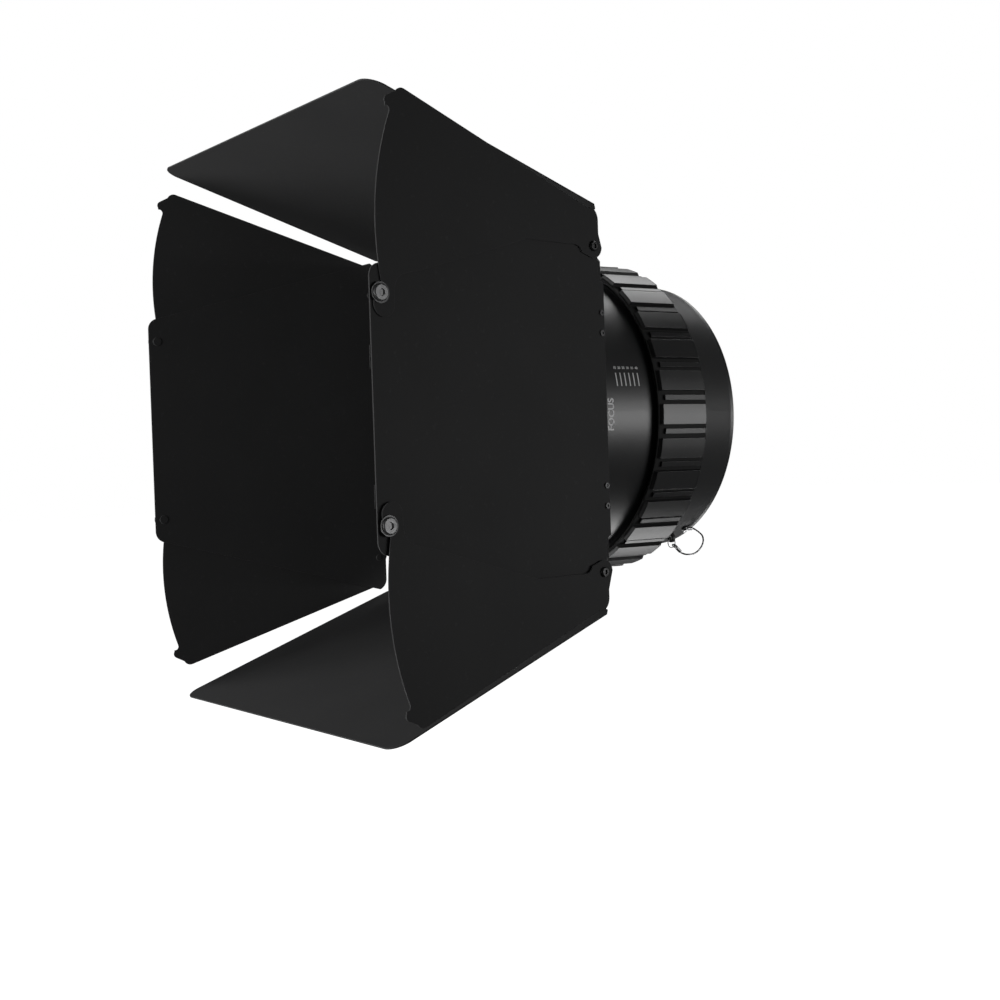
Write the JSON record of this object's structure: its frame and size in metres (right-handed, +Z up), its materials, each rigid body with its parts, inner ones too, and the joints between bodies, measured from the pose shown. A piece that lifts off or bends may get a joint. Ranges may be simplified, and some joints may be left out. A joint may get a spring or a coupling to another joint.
{
  "type": "barn door attachment",
  "caption": "Barn doors for a film lamp: hinged leaves with fan flaps on a turning frame, carried by a focusing barrel with a ribbed ring and a stepped lens.",
  "frame": {"origin": "centre of the rear mounting face, on the light axis", "axes": "+Y out of the rear face towards the lamp, -Y the way the light goes, +Z up"},
  "size_m": [0.5246, 0.5304, 0.6088],
  "materials": {
    "panel_black": "matt black powder coat",
    "barrel_black": "satin black paint on aluminium",
    "ring_black": "satin black paint on cast aluminium",
    "anodised_black": "black anodised",
    "bracket_black": "satin black paint",
    "screw_black": "black oxide",
    "guide_screw_grey": "dull grey, worn",
    "washer_dark": "black oxide, rubbed at the rim",
    "fastener_steel": "zinc plated",
    "wire_steel": "bright steel wire",
    "spacer_black": "black nylon",
    "drag_pad": "dull black friction ring",
    "lens_glass": "clear stepped lens"
  },
  "bodies": {
    "base": {"mount_plate": "barrel_black", "plate_screws": "fastener_steel", "rear_housing": "barrel_black", "guide_sleeve": "anodised_black", "sleeve_screws": "fastener_steel", "safety_lug": "bracket_black", "split_ring": "wire_steel", "wire_crimps": "wire_steel", "safety_wire": "wire_steel", "anchor_screw": "fastener_steel"},
    "focus_ring": {"focus_ring": "ring_black", "bearing_plate": "anodised_black", "helix_band": "anodised_black"},
    "lens_tube": {"lens_tube": "barrel_black", "cam_rollers": "fastener_steel", "fresnel_lens": "lens_glass", "lens_retainer": "barrel_black", "retainer_screws": "fastener_steel", "door_holder": "barrel_black", "holder_screws": "fastener_steel", "drag_ring": "drag_pad"},
    "door_frame": {"door_collar": "barrel_black", "collar_screws": "fastener_steel", "door_frame": "panel_black", "side_hinge_pins": "fastener_steel", "cross_hinge_pins": "fastener_steel"},
    "right_leaf": {"right_leaf": "panel_black", "right_brackets": "bracket_black", "right_hinge_screws": "screw_black", "right_guide_screws": "guide_screw_grey", "right_washers": "washer_dark", "right_pivot_screws": "screw_black", "right_panel_nuts": "panel_black", "right_spacers": "spacer_black"},
    "left_leaf": {"left_leaf": "panel_black", "left_brackets": "bracket_black", "left_hinge_screws": "screw_black", "left_guide_screws": "guide_screw_grey", "left_washers": "washer_dark", "left_pivot_screws": "screw_black", "left_panel_nuts": "panel_black", "left_spacers": "spacer_black"},
    "top_leaf": {"top_leaf": "panel_black", "top_brackets": "bracket_black", "top_hinge_screws": "screw_black"},
    "bottom_leaf": {"bottom_leaf": "panel_black", "bottom_brackets": "bracket_black", "bottom_hinge_screws": "screw_black"},
    "right_top_flap": {"right_top_flap": "panel_black"},
    "right_bottom_flap": {"right_bottom_flap": "panel_black"},
    "left_top_flap": {"left_top_flap": "panel_black"},
    "left_bottom_flap": {"left_bottom_flap": "panel_black"}
  },
  "joints": [
    {"name": "focus_turn", "type": "hinge", "parent": "base", "child": "focus_ring", "pos_m": [0, -0.09, 0], "axis": [0, -1, 0], "range_deg": [0, 100]},
    {"name": "tube_slide", "type": "slide", "parent": "base", "child": "lens_tube", "axis": [0, 1, 0], "range_m": [0, 0.05]},
    {"name": "door_turn", "type": "hinge", "parent": "lens_tube", "child": "door_frame", "pos_m": [0, -0.23, 0], "axis": [0, -1, 0], "continuous": true},
    {"name": "right_leaf_hinge", "type": "hinge", "parent": "door_frame", "child": "right_leaf", "pos_m": [0.2159, -0.24, 0], "axis": [0, 0, -1], "range_deg": [-73, 19]},
    {"name": "left_leaf_hinge", "type": "hinge", "parent": "door_frame", "child": "left_leaf", "pos_m": [-0.2159, -0.24, 0], "axis": [0, 0, 1], "range_deg": [-73, 19]},
    {"name": "top_leaf_hinge", "type": "hinge", "parent": "door_frame", "child": "top_leaf", "pos_m": [0, -0.24, 0.1995], "axis": [-1, 0, 0], "range_deg": [-57, 61]},
    {"name": "bottom_leaf_hinge", "type": "hinge", "parent": "door_frame", "child": "bottom_leaf", "pos_m": [0, -0.24, -0.1995], "axis": [1, 0, 0], "range_deg": [-59, 59]},
    {"name": "right_top_flap_pivot", "type": "hinge", "parent": "right_leaf", "child": "right_top_flap", "pos_m": [0.22334, -0.2516, 0.1634], "axis": [-0.9929, -0.1193, 0], "range_deg": [-34, 0]},
    {"name": "right_bottom_flap_pivot", "type": "hinge", "parent": "right_leaf", "child": "right_bottom_flap", "pos_m": [0.22334, -0.2516, -0.1634], "axis": [0.9929, 0.1193, 0], "range_deg": [-34, 0]},
    {"name": "left_top_flap_pivot", "type": "hinge", "parent": "left_leaf", "child": "left_top_flap", "pos_m": [-0.22334, -0.2516, 0.1634], "axis": [-0.9929, 0.1193, 0], "range_deg": [-31, 3]},
    {"name": "left_bottom_flap_pivot", "type": "hinge", "parent": "left_leaf", "child": "left_bottom_flap", "pos_m": [-0.22334, -0.2516, -0.1634], "axis": [0.9929, -0.1193, 0], "range_deg": [-31, 3]}
  ],
  "couplings": [
    {"joint": "tube_slide", "follows": "focus_turn", "m_per_rad": 0.028648}
  ]
}
